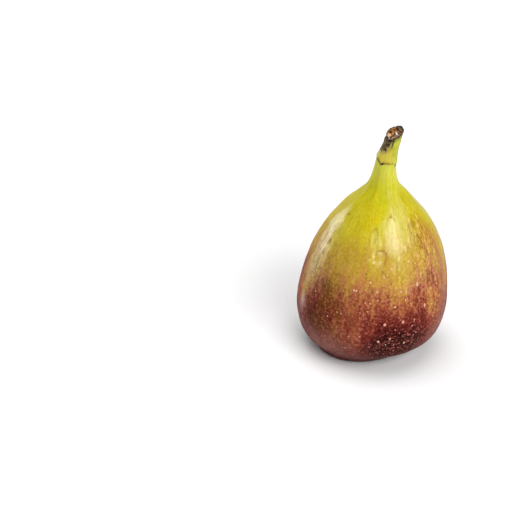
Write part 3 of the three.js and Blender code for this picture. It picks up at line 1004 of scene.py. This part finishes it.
colour = layered(
    tree, colour,
    (tan_share, DRIED_TAN),
    (between(tree, dry, 0.35, 0.9), dried_colour),
    ("stalk_line", NEARLY_BLACK),
    (times(tree, "dark_rim", broken), NEARLY_BLACK),
    # painted shade in the crease under the ring
    (between(tree, "crease_shade", *CREASE_SHOWS), NEARLY_BLACK),
)
fill(tree, shader, {
    "Base Color": colour, "Specular IOR Level": 0.14,
    "Roughness": between(tree, dry, 0.2, 0.8, 0.38, 0.6),
    "Normal": bumps(tree, noise(tree, place, 1500, 3), 0.4, 0.0002),
})
print("stalk finish", len(tree.nodes), "nodes")

# %% The cut end
WOOD_COLOURS = [
    (0.34, (0.035, 0.012, 0.003)), (0.43, (0.14, 0.045, 0.006)), (0.5, (0.3, 0.12, 0.018)),
    (0.58, (0.46, 0.23, 0.055)), (0.68, (0.7, 0.46, 0.22)),
]
TORN_PALE = (0.72, 0.52, 0.42, 1)
RIM_BLACK = (0.018, 0.014, 0.014, 1)
# White of the sap and of the painted glints
SAP_AND_GLINT_WHITE = (0.93, 0.88, 0.84, 1)

tree, shader = shader_of(cut_finish)
place = object_place(tree)
torn_apart = between(tree, noise(tree, place, 1300), 0.42, 0.55)
colour = layered(
    tree, ramp(tree, noise(tree, place, 800, 2, 0.65), WOOD_COLOURS),
    (times(tree, "pale_edge", torn_apart), TORN_PALE),
    (between(tree, "dark_rim", 0, 0.74), RIM_BLACK),
    # white sap, and painted glints
    (between(tree, "sap_and_glints", 0.3, 0.6), SAP_AND_GLINT_WHITE),
)
fill(tree, shader, {
    "Base Color": colour, "Roughness": 0.3, "Specular IOR Level": 0.3,
    "Normal": bumps(tree, noise(tree, place, 1400, 3), 0.7, 0.0004),
})
print("cut finish", len(tree.nodes), "nodes")

# %% [markdown]
# ## Pores
# The skin breathes through raised pale pores. Each is a low dome, a little sunk into the skin. They
# are one mesh, since hundreds of objects would be slow.

# %% Pores
# Each row: the angle in degrees, height, radius, and how many times taller than wide
PORES = [
    [-85.3, 20.55, 0.55, 1.1], [-71.2, 20.7, 0.5, 1.5], [-88.1, 14.2, 0.45, 1.3],
    [-67.5, 12.55, 0.42, 1.3], [-79.7, 15, 0.35, 1.3], [-102.2, 15.8, 0.32, 1],
    [-78.8, 25.9, 0.42, 1], [-102.2, 27.3, 0.3, 1], [-98.4, 27.2, 0.35, 1], [-92.8, 28.2, 0.32, 1],
    [-100.3, 33.3, 0.35, 1.2], [-89.1, 34.7, 0.42, 1], [-82.5, 36.8, 0.3, 1.2],
    [-78.8, 31.6, 0.3, 1], [-74.1, 30.2, 0.4, 1], [-58.1, 31, 0.6, 1.6], [-50.6, 23.7, 0.45, 1.8],
    [-42.2, 22.9, 0.4, 1], [-70.3, 27.6, 0.3, 1.3], [-112.5, 30.6, 0.4, 1.2],
    [-110.6, 30.5, 0.4, 1.2], [-114.4, 10.4, 0.3, 1], [-99.4, 24.7, 0.3, 1], [-60.9, 20.4, 0.32, 1],
    [-62.8, 18.7, 0.3, 1], [-58.1, 15.8, 0.3, 1], [-33.8, 28, 0.35, 1.3], [-147.2, 25.7, 0.3, 1],
    [-130.3, 20.4, 0.3, 1], [-122.8, 22.8, 0.25, 1.4], [-119.1, 22.7, 0.25, 1.4],
]
# The scattered pores: the least and the range of their heights and radii, and how stretched
MORE_PORES, PORE_HEIGHTS, PORE_RADII, PORE_STRETCH = 260, (3, 37), (0.1, 0.16), (0.9, 1.6)
PORE_SIDES = 8
PORE_ROOT, PORE_TOP = -0.2, 0.2
PORE_SLOPES = [(1, -0.05), (0.62, 0.13)]
PORE_PALENESS = [0.5, 0, 0.8, 1]
EYE_ROWS = 20

more = np.stack([
    rng.uniform(-180, 180, MORE_PORES),
    PORE_HEIGHTS[0] + PORE_HEIGHTS[1] * rng.beta(1.3, 2.2, MORE_PORES),
    PORE_RADII[0] + PORE_RADII[1] * rng.beta(1.2, 3, MORE_PORES),
    rng.uniform(*PORE_STRETCH, MORE_PORES),
], axis=-1)
pores = np.concatenate([PORES, more])
body_rows = skin_rows[:BODY_ROWS]
column = np.abs(turned_from(pores[:, :1])).argmin(axis=1)
row = EYE_ROWS + np.abs(body_rows[EYE_ROWS:, column, 2] - pores[:, 1]).argmin(axis=0)
centre = body_rows[row, column]
outward = grid_normals(skin_rows)[row, column]
upward = unit(body_rows[np.minimum(row + 1, BODY_ROWS - 1), column] - centre)
sideways = np.cross(upward, outward)
spokes = np.linspace(0, 2 * np.pi, PORE_SIDES, endpoint=False)[:, None]
radius, stretch = pores[:, 2, None, None], pores[:, 3, None, None]
spread = radius * (np.cos(spokes) * sideways[:, None] + stretch * np.sin(spokes) * upward[:, None])
lifts = radius * outward[:, None]
pore_points = centre[:, None] + np.concatenate([
    PORE_ROOT * lifts,
    *(share * spread + rise * lifts for share, rise in PORE_SLOPES),
    PORE_TOP * lifts,
], axis=1)
pore_size = pore_points.shape[1]
one_pore = closed_faces(len(PORE_SLOPES), PORE_SIDES)
pore_faces = [[corner + first for corner in face]
              for first in range(0, pore_size * len(pores), pore_size) for face in one_pore]
pore_finish = bpy.data.materials.new("pale pore")
pore_piece = make_piece("pores", pore_points.reshape(-1, 3), pore_faces, pore_finish)
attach(pore_piece, "root")
paleness = np.repeat(PORE_PALENESS, [1, PORE_SIDES, PORE_SIDES, 1])
paint(pore_piece, "paleness", np.tile(paleness, len(pores)))
paint(pore_piece, "ripeness", np.repeat(ripeness[row, column], pore_size))
print(len(pores), "pores,", len(pore_faces), "faces")

# %% The pores' finish
SKIRT_GOLD, SKIRT_RED = (0.44, 0.27, 0.05, 1), (0.26, 0.08, 0.04, 1)
CROWN_GOLD, CROWN_PINK = (0.8, 0.62, 0.27, 1), (0.65, 0.3, 0.235, 1)
CROWN_TAN = (0.68, 0.38, 0.21, 1)

tree, shader = shader_of(pore_finish)
ripe = between(tree, "ripeness", 0.45, 0.66)
skirt = mixed(tree, ripe, SKIRT_GOLD, SKIRT_RED)
tanned = between(tree, noise(tree, object_place(tree), 260), 0.4, 0.6)
crown = mixed(tree, tanned, mixed(tree, ripe, CROWN_GOLD, CROWN_PINK), CROWN_TAN)
colour = mixed(tree, "paleness", skirt, crown)
fill(tree, shader, {"Base Color": colour, "Roughness": 0.42, "Specular IOR Level": 0.3})
print("pore finish", len(tree.nodes), "nodes")

# %% [markdown]
# ## Floor, light and camera
# The fig sits on a plain pale floor. A soft light like a window at the front right gives the broad
# highlight, and a weaker panel beside it carries the shine round the flank. A low strip behind on
# the left draws the long highlight there, and a wide light overhead keeps the shade open. The
# camera looks down through a long lens, which keeps the fig's proportions, and stands aside so that
# the fig's foot falls at its place in the frame.

# %% Floor
FLOOR_REACH = 3000
FLOOR_GREY = (0.86, 0.86, 0.86, 1)

corners = FLOOR_REACH * np.array([[-1, -1, 0], [1, -1, 0], [1, 1, 0], [-1, 1, 0]])
floor_finish = bpy.data.materials.new("pale floor")
floor = make_piece("floor", corners, [[0, 1, 2, 3]], floor_finish)
tree, shader = shader_of(floor_finish)
fill(tree, shader, {"Base Color": FLOOR_GREY, "Roughness": 0.9})
print("floor", 2 * FLOOR_REACH, "mm across")

# %% Lights
LIGHTS = {
    # name: (azimuth from the front toward +X, elevation, distance in metres, width, height, watts)
    "window": (28, 35, 2, 1.4, 1, 33),
    "window side": (67, 33, 2, 1.1, 1.1, 7.5),
    "tall strip": (-134, 7, 1.6, 1.3, 0.5, 10.5),
    "overhead": (-120, 82, 2, 2.3, 2.3, 40),
}
AIM = np.array([0, 0, 0.034])
WORLD_GREY = (0.12, 0.12, 0.12, 1)

for name, (azimuth, elevation, distance, wide, tall, watts) in LIGHTS.items():
    a, e = math.radians(azimuth), math.radians(elevation)
    toward = np.array([math.sin(a) * math.cos(e), -math.cos(a) * math.cos(e), math.sin(e)])
    lamp = bpy.data.lights.new(name, "AREA")
    lamp.shape, lamp.size, lamp.size_y, lamp.energy = "RECTANGLE", wide, tall, watts
    stand = placed(name, lamp)
    stand.location = AIM + toward * distance
    stand.rotation_euler = Vector(-toward).to_track_quat("-Z", "Y").to_euler()
scene.world = world = bpy.data.worlds.new("studio")
world.use_nodes = True
world.node_tree.nodes["Background"].inputs["Color"].default_value = WORLD_GREY
scene.view_settings.view_transform = "Standard"
print("lights", list(LIGHTS))

# %% Camera
DISTANCE, ELEVATION, FOCAL_LENGTH, SENSOR = 0.55, math.radians(30), 121.32, 36.0
FRAME_PIXELS = 510
FOOT_PIXEL = (370.3, 339.9)
ahead = np.array([0, math.cos(ELEVATION), -math.sin(ELEVATION)])
aside = np.array([1, 0, 0])
above = np.array([0, math.sin(ELEVATION), math.cos(ELEVATION)])
pixel = DISTANCE * SENSOR / FOCAL_LENGTH / FRAME_PIXELS
right, down = ((at - FRAME_PIXELS / 2) * pixel for at in FOOT_PIXEL)
camera_data = bpy.data.cameras.new("camera")
camera_data.lens, camera_data.sensor_width = FOCAL_LENGTH, SENSOR
camera = placed("camera", camera_data)
camera.location = -DISTANCE * ahead - right * aside + down * above
camera.rotation_euler = (math.pi / 2 - ELEVATION, 0, 0)
bpy.context.scene.camera = camera
print("camera at", np.round(camera.location, 4))
